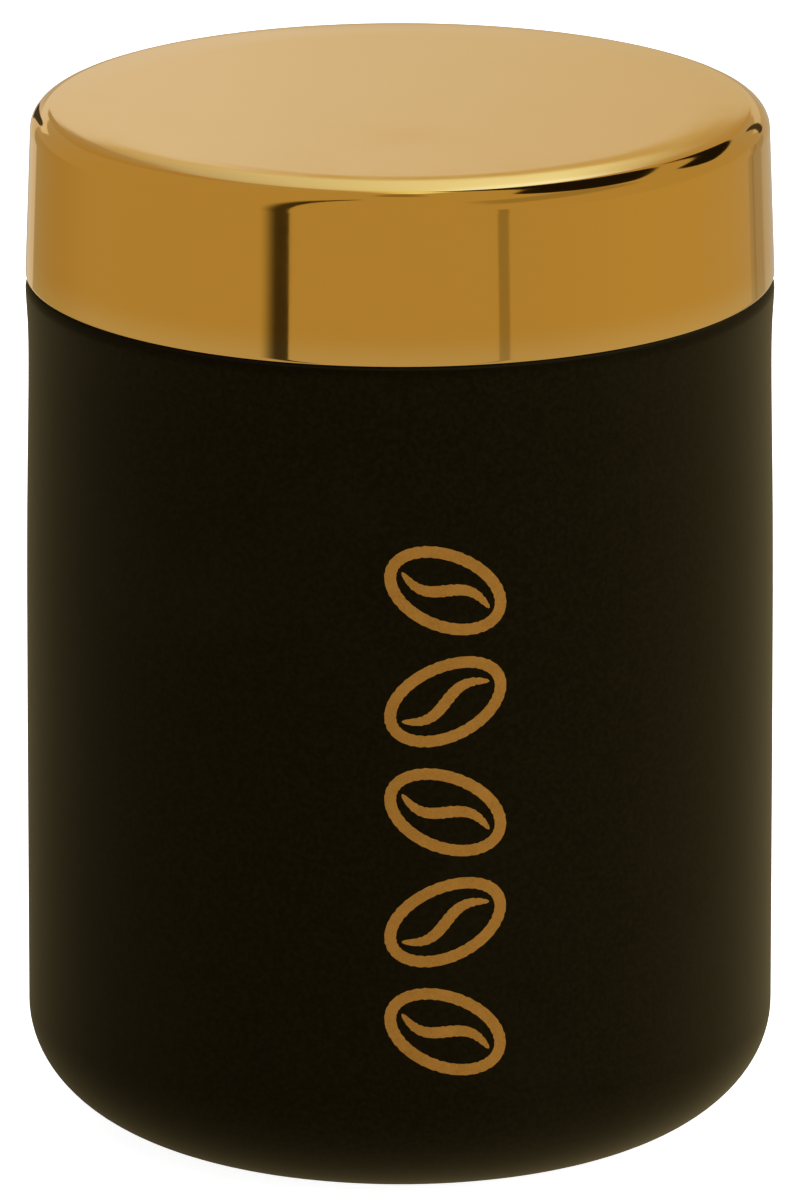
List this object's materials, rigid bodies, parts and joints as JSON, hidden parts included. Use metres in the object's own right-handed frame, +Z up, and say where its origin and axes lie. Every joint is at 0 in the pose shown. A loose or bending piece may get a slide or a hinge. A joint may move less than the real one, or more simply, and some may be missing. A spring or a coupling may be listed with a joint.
{
  "type": "coffee tin",
  "caption": "Round kitchen storage tin with a rounded foot and a flush push-on metal lid that seals with a silicone ring.",
  "frame": {"origin": "centre of the base, at the height of the surface that the tin stands on", "axes": "+Z up along the tin's axis; -Y is the printed front"},
  "size_m": [0.1002, 0.1002, 0.14],
  "materials": {
    "black_coating": "matt black powder coat with a fine texture",
    "bare_steel": "satin stainless steel",
    "gold_finish": "mirror-polished gold-tone plating",
    "plug_plastic": "moulded black polypropylene",
    "silicone": "translucent milky silicone"
  },
  "bodies": {
    "body": {"body_shell": "black_coating", "neck_collar": "bare_steel"},
    "seal": {"seal_ring": "silicone"},
    "lid": {"lid_cap": "gold_finish", "lid_insert": "plug_plastic"}
  },
  "joints": [
    {"name": "lid_lift", "type": "slide", "parent": "body", "child": "seal", "axis": [0, 0, 1], "range_m": [0, 0.1]},
    {"name": "lid_turn", "type": "hinge", "parent": "seal", "child": "lid", "pos_m": [0, 0, 0.1255], "axis": [0, 0, 1], "continuous": true}
  ]
}
